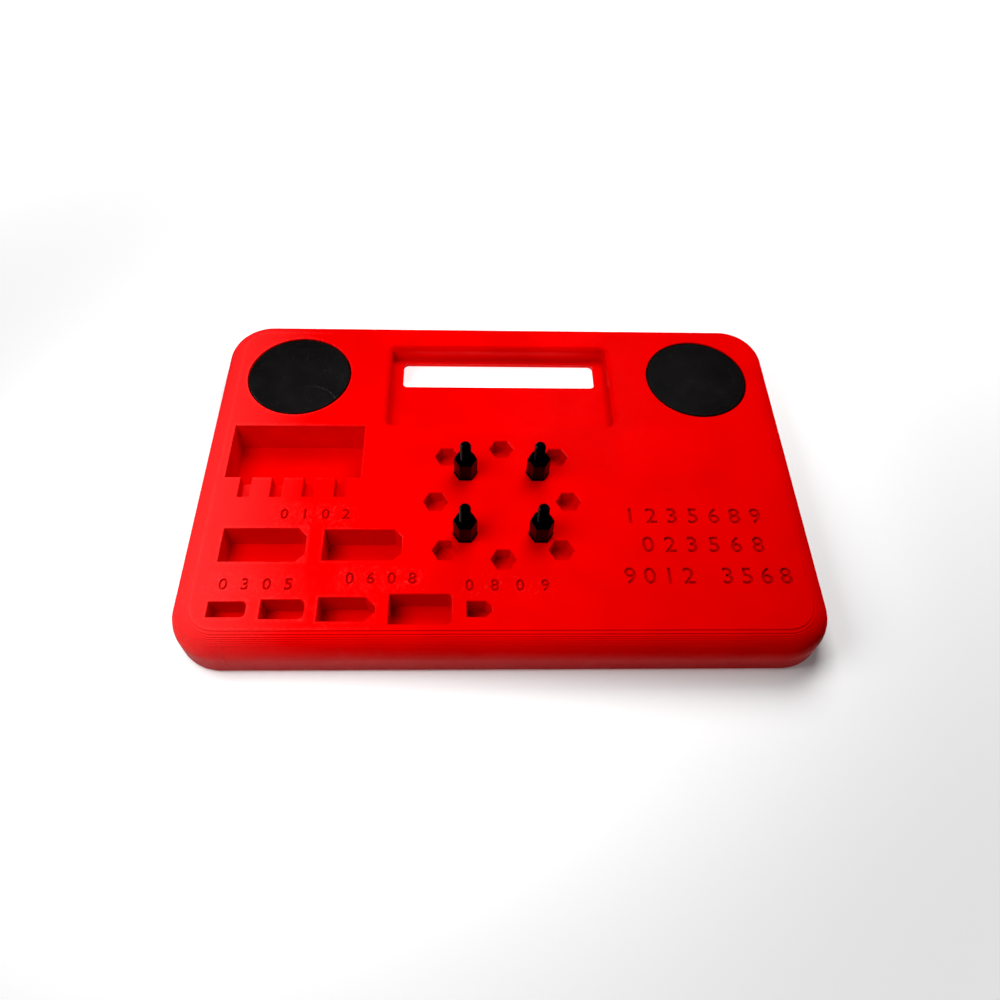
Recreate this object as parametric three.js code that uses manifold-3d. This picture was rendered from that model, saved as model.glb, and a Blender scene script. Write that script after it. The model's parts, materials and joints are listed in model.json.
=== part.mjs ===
// Soldering work plate: a printed bench plate with connector pockets, a comb tray, a carry slot,
// twelve hexagonal sockets, four push-in standoffs, two rubber-faced holding magnets and four feet.
// Millimetres, +Z up. The origin is the middle of the footprint, on the bench under the feet.
import * as THREE from "three";
import { mergeVertices } from "three/addons/utils/BufferGeometryUtils.js";
import Module from "manifold-3d";

// Plate
const PLATE_WIDTH = 167;
const PLATE_DEPTH = 112.5;
const PLATE_THICKNESS = 12;
const PLATE_CORNER = 13;
const EDGE_ROUNDING = 6.5;
const FOOT_PROUD = 1;
const BOTTOM = FOOT_PROUD;
const TOP = FOOT_PROUD + PLATE_THICKNESS;
const PAST = 1;                        // how far a cutter runs past the face it opens

// The four corners of anything laid out on a rectangle, as steps along X and Y
const CORNERS = [
  ["front_left", -1, -1],
  ["front_right", 1, -1],
  ["back_left", -1, 1],
  ["back_right", 1, 1],
];

// Board pattern: three square patterns share one centre
const PATTERN_Y = -13;
const INNER_HALF = 10;                 // 20 x 20 mm boards
const OUTER_HALF = 15.25;              // 30.5 x 30.5 mm boards
const DIAGONAL_REACH = 18.03;          // 25.5 x 25.5 mm boards turned 45 degrees
const SOCKET_FLATS = 5.8;
const SOCKET_DEPTH = 4;

// Standoffs
const STANDOFF_FLATS = 5.5;
const STANDOFF_LENGTH = 10;
const STANDOFF_CHAMFER = 0.5;          // taken off each end's corners, along the radius
const STANDOFF_CHAMFER_RISE = 0.3;
const STANDOFF_WAIST_CLEARANCE = 0.2;  // the corners stay sharp between the two chamfers
const STUD_RADIUS = 1.5;
const STUD_LENGTH = 6;
const STUD_TIP_CHAMFER = 0.5;
const STUD_ROOT = 0.6;                 // how far the stud runs into the hexagonal body
const TAPPED_RADIUS = 1.25;
const TAPPED_DEPTH = 6;
const STANDOFF_EASE = 0.2;             // under the standoff, above the socket's floor

// Holding magnets
const MAGNET_PLACES = [["left", -60], ["right", 60]];
const MAGNET_Y = 32.75;
const JACKET_RADIUS = 15;
const JACKET_WALL = 0.9;
const JACKET_HEIGHT = 5.8;
const JACKET_FACE = 1.1;
const JACKET_FOOT_CHAMFER = 0.2;
const JACKET_RIM_CHAMFER = 0.3;
const POCKET_RADIUS = 15.3;
const POCKET_DEPTH = 6.5;
const BACKING_RADIUS = 13.9;
const BACKING_THICKNESS = 1.5;
const MAGNET_RADIUS = 5;
const MAGNET_THICKNESS = 3;
const MAGNET_CIRCLE = 7.6;
const MAGNETS_PER_JACKET = 4;
const TAPE_RADIUS = 13;
const TAPE_THICKNESS = 0.5;
const EASE = 0.05;                     // between stacked pieces

// Comb tray, left of the board pattern
const TRAY = { left: -75.75, right: -39, front: -5, back: 13.2, depth: 10.5 };
const NOTCH_WIDTH = 3.1;
const NOTCH_FRONT = -11.5;
const NOTCH_DEPTH = 3.5;
const NOTCH_FIRST = -69.9;
const NOTCH_PITCH = 8.6;
const NOTCH_COUNT = 4;

// Connector pockets, in two rows; "cut" corners are bevelled, "round" ones are arcs, on the right side
const POCKET_LEFT_RADIUS = 0.3;        // of the two left-hand corners in the pockets with round corners
const LARGE_ROW_Y = -26.6;
const SMALL_ROW_Y = -45.2;
const POCKETS = [
  { left: -73.1, width: 21.7, height: 10, y: LARGE_ROW_Y, depth: 8, corner: "cut", size: 2.4 },
  { left: -46.8, width: 20.3, height: 9.3, y: LARGE_ROW_Y, depth: 8, corner: "cut", size: 2.2 },
  { left: -73.3, width: 9.3, height: 4.2, y: SMALL_ROW_Y, depth: 6, corner: "round", size: 1.2 },
  { left: -60.4, width: 10.7, height: 5.2, y: SMALL_ROW_Y, depth: 6.5, corner: "round", size: 1.5 },
  { left: -46.3, width: 14.1, height: 6.5, y: SMALL_ROW_Y, depth: 7, corner: "cut", size: 2.6 },
  { left: -28.8, width: 15.6, height: 8.2, y: SMALL_ROW_Y, depth: 6.5, corner: "round", size: 1.2 },
  { left: -9.4, width: 6.2, height: 4.3, y: SMALL_ROW_Y, depth: 6, corner: "cut", size: 1.6 },
];

// Carry slot: a dished recess with a slot through its floor, bevelled from below
const RECESS = { halfWidth: 33, front: 14.2, back: 44.4, depth: 5, corner: 1.6, lip: 1.4 };
const SLOT = { halfWidth: 29.5, front: 32.9, back: 42.8, corner: 1.5, web: 1.3 };
const UNDERCUT_BEVEL = PLATE_THICKNESS - RECESS.depth - SLOT.web;

// Feet
const FOOT_RADIUS = 5;
const FOOT_THICKNESS = 2;
const FOOT_CHAMFER = 0.4;
const FOOT_X = 70;
const FOOT_Y = 43;
const FOOT_POCKET_RADIUS = 5.3;
const FOOT_POCKET_DEPTH = FOOT_THICKNESS - FOOT_PROUD + EASE;

// How finely curves are divided
const ROUND_SIDES = 48;
const SMALL_SIDES = 24;
const CORNER_STEPS = 5;
const PLATE_CORNER_STEPS = 7;
const ROUNDING_STEPS = 6;
const MERGE_DISTANCE = 1e-4;

const RED_PRINT = { color: 0xe5120f, roughness: 0.5, metalness: 0 };
const BLACK_NYLON = { color: 0x101012, roughness: 0.38, metalness: 0 };
const BLACK_RUBBER = { color: 0x17171a, roughness: 0.55, metalness: 0 };
const FOOT_RUBBER = { color: 0x1c1c1e, roughness: 0.8, metalness: 0 };
const ZINC_STEEL = { color: 0xb4b7ba, roughness: 0.35, metalness: 1 };
const NICKEL_MAGNET = { color: 0xc9cacc, roughness: 0.18, metalness: 1 };
const WHITE_TAPE = { color: 0xe9e7df, roughness: 0.9, metalness: 0 };

const wasm = await Module();
wasm.setup();

function toSolid(geometry) {
  const plain = geometry.index ? geometry.toNonIndexed() : geometry.clone();
  plain.deleteAttribute("normal");
  plain.deleteAttribute("uv");
  const merged = mergeVertices(plain, MERGE_DISTANCE);
  const vertProperties = new Float32Array(merged.attributes.position.array);
  const triVerts = new Uint32Array(merged.index.array);
  return new wasm.Manifold(new wasm.Mesh({ numProp: 3, vertProperties, triVerts }));
}

function toGeometry(solid) {
  const mesh = solid.getMesh();
  const geometry = new THREE.BufferGeometry();
  geometry.setAttribute("position", new THREE.BufferAttribute(new Float32Array(mesh.vertProperties), 3));
  geometry.setIndex(new THREE.BufferAttribute(new Uint32Array(mesh.triVerts), 1));
  geometry.computeVertexNormals();
  return geometry;
}

// A rectangle whose corners are arcs; radii run front left, front right, back right, back left.
function roundedRectangle(left, right, front, back, radii) {
  const [fl, fr, br, bl] = Array.isArray(radii) ? radii : [radii, radii, radii, radii];
  const quarter = Math.PI / 2;
  const shape = new THREE.Shape();
  shape.moveTo(left + fl, front);
  shape.lineTo(right - fr, front);
  shape.absarc(right - fr, front + fr, fr, -quarter, 0, false);
  shape.lineTo(right, back - br);
  shape.absarc(right - br, back - br, br, 0, quarter, false);
  shape.lineTo(left + bl, back);
  shape.absarc(left + bl, back - bl, bl, quarter, 2 * quarter, false);
  shape.lineTo(left, front + fl);
  shape.absarc(left + fl, front + fl, fl, 2 * quarter, 3 * quarter, false);
  return shape;
}

function rectangle(left, right, front, back) {
  const shape = new THREE.Shape();
  shape.moveTo(left, front);
  shape.lineTo(right, front);
  shape.lineTo(right, back);
  shape.lineTo(left, back);
  return shape;
}

// A rectangle with its two right-hand corners bevelled.
function bevelledRectangle(left, right, front, back, cut) {
  const shape = new THREE.Shape();
  shape.moveTo(left, front);
  shape.lineTo(right - cut, front);
  shape.lineTo(right, front + cut);
  shape.lineTo(right, back - cut);
  shape.lineTo(right - cut, back);
  shape.lineTo(left, back);
  return shape;
}

// A hexagon with two corners on the X axis.
function hexagon(flats) {
  const shape = new THREE.Shape();
  const reach = flats / Math.sqrt(3);
  for (let corner = 0; corner < 6; corner++) {
    const angle = (corner * Math.PI) / 3;
    const x = reach * Math.cos(angle);
    const y = reach * Math.sin(angle);
    if (corner === 0) shape.moveTo(x, y);
    else shape.lineTo(x, y);
  }
  return shape;
}

function prism(shape, low, high) {
  const geometry = new THREE.ExtrudeGeometry(shape, {
    depth: high - low,
    bevelEnabled: false,
    curveSegments: CORNER_STEPS,
  });
  geometry.translate(0, 0, low);
  return toSolid(geometry);
}

// A solid between two outlines with the same number of points, one above the other.
function taperedPrism(lowShape, low, highShape, high) {
  const lowPoints = lowShape.getPoints(CORNER_STEPS);
  const highPoints = highShape.getPoints(CORNER_STEPS);
  const faces = THREE.ShapeUtils.triangulateShape(lowPoints, []);
  const count = lowPoints.length;
  const positions = [];
  const push = (points, z, index) => positions.push(points[index].x, points[index].y, z);
  for (const [a, b, c] of faces) {
    push(lowPoints, low, a);
    push(lowPoints, low, c);
    push(lowPoints, low, b);
    push(highPoints, high, a);
    push(highPoints, high, b);
    push(highPoints, high, c);
  }
  for (let index = 0; index < count; index++) {
    const next = (index + 1) % count;
    push(lowPoints, low, index);
    push(lowPoints, low, next);
    push(highPoints, high, next);
    push(lowPoints, low, index);
    push(highPoints, high, next);
    push(highPoints, high, index);
  }
  const geometry = new THREE.BufferGeometry();
  geometry.setAttribute("position", new THREE.Float32BufferAttribute(positions, 3));
  return toSolid(geometry);
}

// A turned solid about +Z from [radius, height] pairs that start and end on the axis.
function turned(profile, sides) {
  const points = profile.map(([radius, height]) => new THREE.Vector2(radius, height));
  const geometry = new THREE.LatheGeometry(points, sides);
  geometry.rotateX(Math.PI / 2);
  return toSolid(geometry);
}

function disc(radius, low, high, sides) {
  return turned([[0, low], [radius, low], [radius, high], [0, high]], sides);
}

// The blank's top edge is a quarter round; its bottom edge is square.
function plateBlank() {
  const halfWidth = PLATE_WIDTH / 2 - EDGE_ROUNDING;
  const halfDepth = PLATE_DEPTH / 2 - EDGE_ROUNDING;
  const corner = PLATE_CORNER - EDGE_ROUNDING;
  const outline = roundedRectangle(-halfWidth, halfWidth, -halfDepth, halfDepth, corner);
  const below = BOTTOM - EDGE_ROUNDING - PAST;
  const geometry = new THREE.ExtrudeGeometry(outline, {
    depth: TOP - EDGE_ROUNDING - below,
    bevelEnabled: true,
    bevelThickness: EDGE_ROUNDING,
    bevelSize: EDGE_ROUNDING,
    bevelSegments: ROUNDING_STEPS,
    curveSegments: PLATE_CORNER_STEPS,
  });
  geometry.translate(0, 0, below);
  const keep = rectangle(-PLATE_WIDTH, PLATE_WIDTH, -PLATE_DEPTH, PLATE_DEPTH);
  return toSolid(geometry).intersect(prism(keep, BOTTOM, TOP + PAST));
}

function socketPlaces() {
  const places = [];
  for (const half of [INNER_HALF, OUTER_HALF]) {
    for (const [, x, y] of CORNERS) places.push([x * half, y * half]);
  }
  for (const [x, y] of [[-1, 0], [1, 0], [0, -1], [0, 1]]) {
    places.push([x * DIAGONAL_REACH, y * DIAGONAL_REACH]);
  }
  return places;
}

function socketCutters() {
  return socketPlaces().map(([x, y]) => {
    const cutter = prism(hexagon(SOCKET_FLATS), TOP - SOCKET_DEPTH, TOP + PAST);
    return cutter.translate([x, PATTERN_Y + y, 0]);
  });
}

function pocketCutters() {
  return POCKETS.map(({ left, width, height, y, depth, corner, size }) => {
    const right = left + width;
    const front = y - height / 2;
    const back = y + height / 2;
    const outline = corner === "cut"
      ? bevelledRectangle(left, right, front, back, size)
      : roundedRectangle(left, right, front, back, [POCKET_LEFT_RADIUS, size, size, POCKET_LEFT_RADIUS]);
    return prism(outline, TOP - depth, TOP + PAST);
  });
}

function trayCutters() {
  const floor = TOP - TRAY.depth;
  const cutters = [prism(rectangle(TRAY.left, TRAY.right, TRAY.front, TRAY.back), floor, TOP + PAST)];
  for (let notch = 0; notch < NOTCH_COUNT; notch++) {
    const x = NOTCH_FIRST + notch * NOTCH_PITCH;
    const half = NOTCH_WIDTH / 2;
    const outline = rectangle(x - half, x + half, NOTCH_FRONT, TRAY.front + PAST);
    cutters.push(prism(outline, TOP - NOTCH_DEPTH, TOP + PAST));
  }
  return cutters;
}

// The outline of the recess or the slot, made larger all round.
function grown({ halfWidth, front, back, corner }, by) {
  const reach = halfWidth + by;
  return roundedRectangle(-reach, reach, front - by, back + by, corner + by);
}

function carrySlotCutters() {
  const floor = TOP - RECESS.depth;
  const slotFoot = floor - SLOT.web;
  const lipFoot = TOP - RECESS.lip;
  return [
    prism(grown(RECESS, 0), floor, TOP + PAST),
    taperedPrism(grown(RECESS, 0), lipFoot, grown(RECESS, RECESS.lip + PAST), TOP + PAST),
    prism(grown(SLOT, 0), BOTTOM - PAST, TOP),
    taperedPrism(grown(SLOT, UNDERCUT_BEVEL + PAST), BOTTOM - PAST, grown(SLOT, 0), slotFoot),
  ];
}

function magnetPocketCutters() {
  return MAGNET_PLACES.map(([, x]) => {
    const cutter = disc(POCKET_RADIUS, TOP - POCKET_DEPTH, TOP + PAST, ROUND_SIDES);
    return cutter.translate([x, MAGNET_Y, 0]);
  });
}

function footPocketCutters() {
  const roof = BOTTOM + FOOT_POCKET_DEPTH;
  return CORNERS.map(([, x, y]) => {
    const cutter = disc(FOOT_POCKET_RADIUS, BOTTOM - PAST, roof, SMALL_SIDES);
    return cutter.translate([x * FOOT_X, y * FOOT_Y, 0]);
  });
}

function basePlate() {
  const cutters = [
    ...socketCutters(),
    ...pocketCutters(),
    ...trayCutters(),
    ...carrySlotCutters(),
    ...magnetPocketCutters(),
    ...footPocketCutters(),
  ];
  return cutters.reduce((solid, cutter) => solid.subtract(cutter), plateBlank());
}

// Stands on its own z = 0, female end down, stud up.
function standoff() {
  const corner = STANDOFF_FLATS / Math.sqrt(3);
  const waist = corner + STANDOFF_WAIST_CLEARANCE;
  const endRadius = waist - STANDOFF_CHAMFER;
  const chamfered = turned([
    [0, 0],
    [endRadius, 0],
    [waist, STANDOFF_CHAMFER_RISE],
    [waist, STANDOFF_LENGTH - STANDOFF_CHAMFER_RISE],
    [endRadius, STANDOFF_LENGTH],
    [0, STANDOFF_LENGTH],
  ], SMALL_SIDES);
  const body = chamfered.intersect(prism(hexagon(STANDOFF_FLATS), -PAST, STANDOFF_LENGTH + PAST));
  const tip = STANDOFF_LENGTH + STUD_LENGTH;
  const stud = turned([
    [0, STANDOFF_LENGTH - STUD_ROOT],
    [STUD_RADIUS, STANDOFF_LENGTH - STUD_ROOT],
    [STUD_RADIUS, tip - STUD_TIP_CHAMFER],
    [STUD_RADIUS - STUD_TIP_CHAMFER, tip],
    [0, tip],
  ], SMALL_SIDES);
  return body.add(stud).subtract(disc(TAPPED_RADIUS, -PAST, TAPPED_DEPTH, SMALL_SIDES));
}

// An open-bottomed rubber cup.
function magnetJacket() {
  const inside = JACKET_RADIUS - JACKET_WALL;
  const ceiling = JACKET_HEIGHT - JACKET_FACE;
  return turned([
    [inside, 0],
    [JACKET_RADIUS - JACKET_FOOT_CHAMFER, 0],
    [JACKET_RADIUS, JACKET_FOOT_CHAMFER],
    [JACKET_RADIUS, JACKET_HEIGHT - JACKET_RIM_CHAMFER],
    [JACKET_RADIUS - JACKET_RIM_CHAMFER, JACKET_HEIGHT],
    [0, JACKET_HEIGHT],
    [0, ceiling],
    [inside, ceiling],
    [inside, 0],
  ], ROUND_SIDES);
}

function foot() {
  return turned([
    [0, 0],
    [FOOT_RADIUS - FOOT_CHAMFER, 0],
    [FOOT_RADIUS, FOOT_CHAMFER],
    [FOOT_RADIUS, FOOT_THICKNESS],
    [0, FOOT_THICKNESS],
  ], SMALL_SIDES);
}

const workPlate = new THREE.Group();
workPlate.name = "solder_work_plate";

function addPiece(parent, name, solid, finish, x = 0, y = 0, z = 0) {
  const mesh = new THREE.Mesh(toGeometry(solid), new THREE.MeshStandardMaterial(finish));
  mesh.name = name;
  mesh.position.set(x, y, z);
  parent.add(mesh);
}

addPiece(workPlate, "base_plate", basePlate(), RED_PRINT);

const standoffs = new THREE.Group();
standoffs.position.set(0, PATTERN_Y, TOP - SOCKET_DEPTH + STANDOFF_EASE);
for (const [corner, x, y] of CORNERS) {
  addPiece(standoffs, `standoff_${corner}`, standoff(), BLACK_NYLON, x * INNER_HALF, y * INNER_HALF);
}
workPlate.add(standoffs);

// From the pocket's floor up: tape, steel backing, magnets side by side, and the jacket over them.
function addHoldingMagnet(side, x) {
  const holder = new THREE.Group();
  holder.position.set(x, MAGNET_Y, TOP - POCKET_DEPTH);
  workPlate.add(holder);
  const tapeTop = EASE + TAPE_THICKNESS;
  const backingLow = tapeTop + EASE;
  const backingTop = backingLow + BACKING_THICKNESS;
  const magnetLow = backingTop + EASE;
  const tape = disc(TAPE_RADIUS, EASE, tapeTop, ROUND_SIDES);
  const backing = disc(BACKING_RADIUS, backingLow, backingTop, ROUND_SIDES);
  addPiece(holder, `${side}_magnet_tape`, tape, WHITE_TAPE);
  addPiece(holder, `${side}_magnet_backing`, backing, ZINC_STEEL);
  for (let index = 0; index < MAGNETS_PER_JACKET; index++) {
    const angle = ((index + 0.5) * 2 * Math.PI) / MAGNETS_PER_JACKET;
    const magnet = disc(MAGNET_RADIUS, magnetLow, magnetLow + MAGNET_THICKNESS, SMALL_SIDES);
    const magnetX = MAGNET_CIRCLE * Math.cos(angle);
    const magnetY = MAGNET_CIRCLE * Math.sin(angle);
    addPiece(holder, `${side}_magnet_core_${index + 1}`, magnet, NICKEL_MAGNET, magnetX, magnetY);
  }
  const jacketLow = POCKET_DEPTH - JACKET_HEIGHT;
  addPiece(holder, `${side}_magnet_jacket`, magnetJacket(), BLACK_RUBBER, 0, 0, jacketLow);
}

for (const [side, x] of MAGNET_PLACES) addHoldingMagnet(side, x);

for (const [corner, x, y] of CORNERS) {
  addPiece(workPlate, `foot_${corner}`, foot(), FOOT_RUBBER, x * FOOT_X, y * FOOT_Y);
}

export default workPlate;
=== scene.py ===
"""Looks for the soldering work plate: the printed plate, its standoffs, magnets and feet, and the stage."""
import json
import math

import bmesh
import bpy
from mathutils import Matrix, Vector


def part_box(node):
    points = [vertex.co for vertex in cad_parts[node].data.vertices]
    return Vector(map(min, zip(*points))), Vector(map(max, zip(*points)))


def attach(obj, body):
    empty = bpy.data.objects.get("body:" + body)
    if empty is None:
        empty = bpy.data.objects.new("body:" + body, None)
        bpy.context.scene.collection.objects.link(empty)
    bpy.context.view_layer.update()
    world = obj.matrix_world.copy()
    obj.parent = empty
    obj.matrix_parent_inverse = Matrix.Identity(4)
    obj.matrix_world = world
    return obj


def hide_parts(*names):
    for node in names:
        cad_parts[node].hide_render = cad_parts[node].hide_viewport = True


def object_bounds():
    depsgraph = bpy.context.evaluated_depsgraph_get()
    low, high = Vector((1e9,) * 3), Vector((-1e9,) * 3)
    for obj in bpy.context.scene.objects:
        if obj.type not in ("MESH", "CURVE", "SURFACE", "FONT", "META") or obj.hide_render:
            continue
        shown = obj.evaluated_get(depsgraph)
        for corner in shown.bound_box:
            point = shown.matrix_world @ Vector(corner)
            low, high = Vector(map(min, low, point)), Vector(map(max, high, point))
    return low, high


bl_info = {
    "name": "Soldering work plate",
    "version": (1, 0, 0),
    "blender": (4, 5, 0),
    "location": "View3D > Sidebar > Work plate",
    "description": "Builds a printed soldering plate with standoffs, magnets and feet around its CAD frame",
    "category": "Add Mesh",
}

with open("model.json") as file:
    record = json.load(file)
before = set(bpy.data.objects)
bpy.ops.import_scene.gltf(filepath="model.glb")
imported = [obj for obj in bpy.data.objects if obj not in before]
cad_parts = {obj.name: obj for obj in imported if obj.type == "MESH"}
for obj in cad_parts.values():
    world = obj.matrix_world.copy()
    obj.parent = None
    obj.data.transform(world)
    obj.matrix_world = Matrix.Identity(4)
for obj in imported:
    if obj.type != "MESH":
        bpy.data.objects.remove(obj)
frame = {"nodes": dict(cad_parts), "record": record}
CAD_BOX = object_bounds()
RECORD = frame["record"]

MM = 0.001
FULL_TURN = 2 * math.pi
WELD = 0.0005 * MM                   # vertices closer than this are one
SHARP_ANGLE = math.radians(32)       # edges that turn more than this stay sharp
PAST = 1 * MM                        # how far a cutting tool runs past the face it opens
FACETS_LARGE = 128                   # facets in a full turn of a magnet
FACETS = 96                          # of the plate's corners, a foot or a standoff
FACETS_SMALL = 64                    # of a foot's pocket or a stud
FACETS_CORNER = 32                   # of the slot's and the recess's corners

ROOT = "root"
PLATE = "base_plate"
CORNERS = ("front_left", "front_right", "back_left", "back_right")
SIDES = ("left", "right")
CORES_PER_MAGNET = 4


# ---------------------------------------------------------------------------------------------------------
# Places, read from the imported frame


def opening(name):
    """Lowest and highest corner of one of the record's openings."""
    for item in RECORD["physics"]["openings"]:
        if item["name"] == name:
            low, high = item["box_m"]
            return Vector(low), Vector(high)
    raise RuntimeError(f"the packed record has no opening named {name}")


def middle(box):
    low, high = box
    return (low + high) / 2


PLATE_LOW, PLATE_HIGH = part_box(PLATE)
TOP = PLATE_HIGH.z
BOTTOM = PLATE_LOW.z
STANDOFF_BOXES = {corner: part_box(f"standoff_{corner}") for corner in CORNERS}
JACKET_BOXES = {side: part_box(f"{side}_magnet_jacket") for side in SIDES}
FOOT_BOXES = {corner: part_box(f"foot_{corner}") for corner in CORNERS}
PATTERN_Y = sum(middle(box).y for box in STANDOFF_BOXES.values()) / len(CORNERS)

OPENING_EASE = 0.05 * MM             # the record's openings stay this far inside the real walls
PLATE_CORNER = 13 * MM
EDGE_ROUNDING = 6.5 * MM
SOCKET_FLATS = 5.8 * MM
SOCKET_DEPTH = 4 * MM
SOCKET_NAMES = [f"socket_outer_{corner}" for corner in CORNERS]
SOCKET_NAMES += [f"socket_middle_{side}" for side in ("left", "right", "front", "back")]
MAGNET_POCKET_RADIUS = 15.3 * MM
MAGNET_POCKET_DEPTH = 6.5 * MM
FOOT_POCKET_RADIUS = 5.3 * MM
FOOT_POCKET_ROOF = 2.05 * MM
NOTCH_FIRST = -69.9 * MM
NOTCH_PITCH = 8.6 * MM
NOTCH_WIDTH = 3.1 * MM
NOTCH_FRONT = -11.5 * MM
NOTCH_DEPTH = 3.5 * MM
NOTCH_COUNT = 4
RECESS_CORNER = 1.6 * MM
SLOT_CORNER = 1.5 * MM
SLOT_WEB = 1.3 * MM

# The right-hand corners of each connector pocket: how many flats they have, and how far they reach
POCKET_CORNERS = {
    "pocket_large_connector_housing": (1, 2.4 * MM),
    "pocket_large_connector_plug": (1, 2.2 * MM),
    "pocket_small_connector_plug": (6, 1.2 * MM),
    "pocket_small_connector_housing": (6, 1.5 * MM),
    "pocket_medium_connector_plug": (1, 2.6 * MM),
    "pocket_medium_connector_housing": (6, 1.2 * MM),
    "pocket_tiny_connector": (1, 1.6 * MM),
}


def pocket_box(name):
    """The pocket's true walls: the stated opening leaves out the right-hand corners."""
    low, high = opening(name)
    reach = POCKET_CORNERS[name][1]
    wall_low = Vector((low.x - OPENING_EASE, low.y - OPENING_EASE, low.z - OPENING_EASE))
    wall_high = Vector((high.x + reach, high.y + OPENING_EASE, TOP))
    return wall_low, wall_high


def eased_box(name):
    low, high = opening(name)
    ease = Vector((OPENING_EASE, OPENING_EASE, OPENING_EASE))
    return low - ease, Vector((high.x + ease.x, high.y + ease.y, TOP))


POCKET_BOXES = {name: pocket_box(name) for name in POCKET_CORNERS}
TRAY_BOX = eased_box("comb_tray")
RECESS_BOX = eased_box("carry_recess")
SLOT_BOX = (opening("carry_slot")[0] - Vector((0.1 * MM, 0.1 * MM, 0)),
            opening("carry_slot")[1] + Vector((0.1 * MM, 0.1 * MM, 0)))

# Engraved numerals: the digits, the first one's centre, the step to the next, and the height
LABELS = [
    ("0102", -58.0 * MM, -17.25 * MM, 5.43 * MM, 3.2 * MM),
    ("0305", -70.5 * MM, -38.4 * MM, 5.42 * MM, 3.3 * MM),
    ("0608", -39.1 * MM, -36.7 * MM, 5.28 * MM, 3.3 * MM),
    ("0809", -8.8 * MM, -38.7 * MM, 6.43 * MM, 3.3 * MM),
    ("1235689", 34.35 * MM, -17.65 * MM, 5.68 * MM, 4.9 * MM),
    ("023568", 38.2 * MM, -26.7 * MM, 5.86 * MM, 4.9 * MM),
    ("9012 3568", 32.5 * MM, -36.1 * MM, 5.06 * MM, 4.9 * MM),
]
SMALL_LABELS = LABELS[:4]


# ---------------------------------------------------------------------------------------------------------
# What a user may change


def length(name, description, millimetres):
    return bpy.props.FloatProperty(
        name=name, description=description, default=millimetres * MM, min=0, unit="LENGTH", precision=5)


def colour(name, description, red, green, blue):
    return bpy.props.FloatVectorProperty(
        name=name, description=description, default=(red, green, blue), min=0, max=1, subtype="COLOR")


def share(name, description, default):
    return bpy.props.FloatProperty(
        name=name, description=description, default=default, min=0, max=1, subtype="FACTOR")


def power(name, description, watts):
    return bpy.props.FloatProperty(name=name, description=description, default=watts, min=0, unit="POWER")


class PlateSettings(bpy.types.PropertyGroup):
    layer: length("Layer height", "Height of one printed layer", 0.24)
    line: length("Line width", "Width of one printed line on the top skin", 0.42)
    crease: length("Crease", "How far the seam between two layers lies behind the wall", 0.025)
    lip: length("Recess lip", "Radius of the carry recess's rounded lip", 1.7)
    cove: length("Recess cove", "Radius where the carry recess's wall meets its floor", 1.3)
    mouth: length("Mouth ease", "Width of the small chamfer round every pocket", 0.2)
    engraving: length("Engraving depth", "Depth of the numerals", 0.6)
    boldness: share("Boldness", "How far each side of a numeral's stroke moves out, over its height", 0.019)
    red: colour("Red", "The filament's colour", 0.62, 0.0006, 0.0008)
    # This paler red also paints the sheen along the left edge and the highlight on the pocket rims
    scuffed_and_sheen: colour("Scuffed red", "The paler red of scraped plastic and fine strings", 0.80, 0.05, 0.05)
    # This also sets the strength of the painted highlight on the pocket rims
    wear_and_rim_highlight: share("Wear", "How much scuffing and stringing lies round the numerals", 0.7)


class StandoffSettings(bpy.types.PropertyGroup):
    pitch: length("Thread pitch", "Rise of the thread in one turn", 0.5)
    thread_depth: length("Thread depth", "Height of the thread's ridge", 0.28)
    chamfer: length("Chamfer", "How much each end's corners lose", 0.85)
    black: colour("Black", "The nylon's colour", 0.0032, 0.0032, 0.0034)


class MagnetSettings(bpy.types.PropertyGroup):
    rim: length("Rim radius", "Radius of the jacket's edge", 0.3)
    black: colour("Black", "The jacket's colour", 0.0071, 0.0067, 0.0067)
    scratches: share("Scratches", "Strength of the fine scratches on the face", 0.5)


class FootSettings(bpy.types.PropertyGroup):
    edge: length("Edge radius", "Radius of the foot's lower edge", 0.4)
    black: colour("Black", "The rubber's colour", 0.012, 0.012, 0.013)


class StageSettings(bpy.types.PropertyGroup):
    camera_place: bpy.props.FloatVectorProperty(
        name="Camera place", description="Where the camera stands",
        default=(-0.0084, -0.1372, 0.1955), subtype="XYZ", unit="LENGTH")
    camera_turn: bpy.props.FloatVectorProperty(
        name="Camera turn", description="The camera's rotation about X, Y and Z",
        default=(math.radians(34.370), math.radians(-1.762), math.radians(-0.989)),
        subtype="EULER", unit="ROTATION")
    lens: bpy.props.FloatProperty(
        name="Lens", description="Focal length on a 36 mm sensor, in millimetres", default=29.335, min=1)
    key: power("Key light", "The soft light above the front left", 0.24)
    back: power("Back light", "The soft light above the back", 0.72)
    front: power("Front fill", "The broad fill from the front", 0.43)
    gloss: power("Left gloss", "The light whose reflection runs along the left edge", 0.7)
    ambient: share("Ambient", "Brightness of the surroundings as a light", 0.015)
    black_level: share("Black level", "Light this dim is shown as black", 0.0065)
    floor: colour("Floor", "The floor's colour", 0.93, 0.93, 0.93)


# ---------------------------------------------------------------------------------------------------------
# Mesh helpers


def object_from(bm, name):
    """Welds and closes the mesh, points its faces outwards and puts it in the scene as an object."""
    bmesh.ops.remove_doubles(bm, verts=bm.verts, dist=WELD)
    bmesh.ops.recalc_face_normals(bm, faces=bm.faces)
    mesh = bpy.data.meshes.new(name)
    bm.to_mesh(mesh)
    bm.free()
    piece = bpy.data.objects.new(name, mesh)
    bpy.context.scene.collection.objects.link(piece)
    return piece


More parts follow.
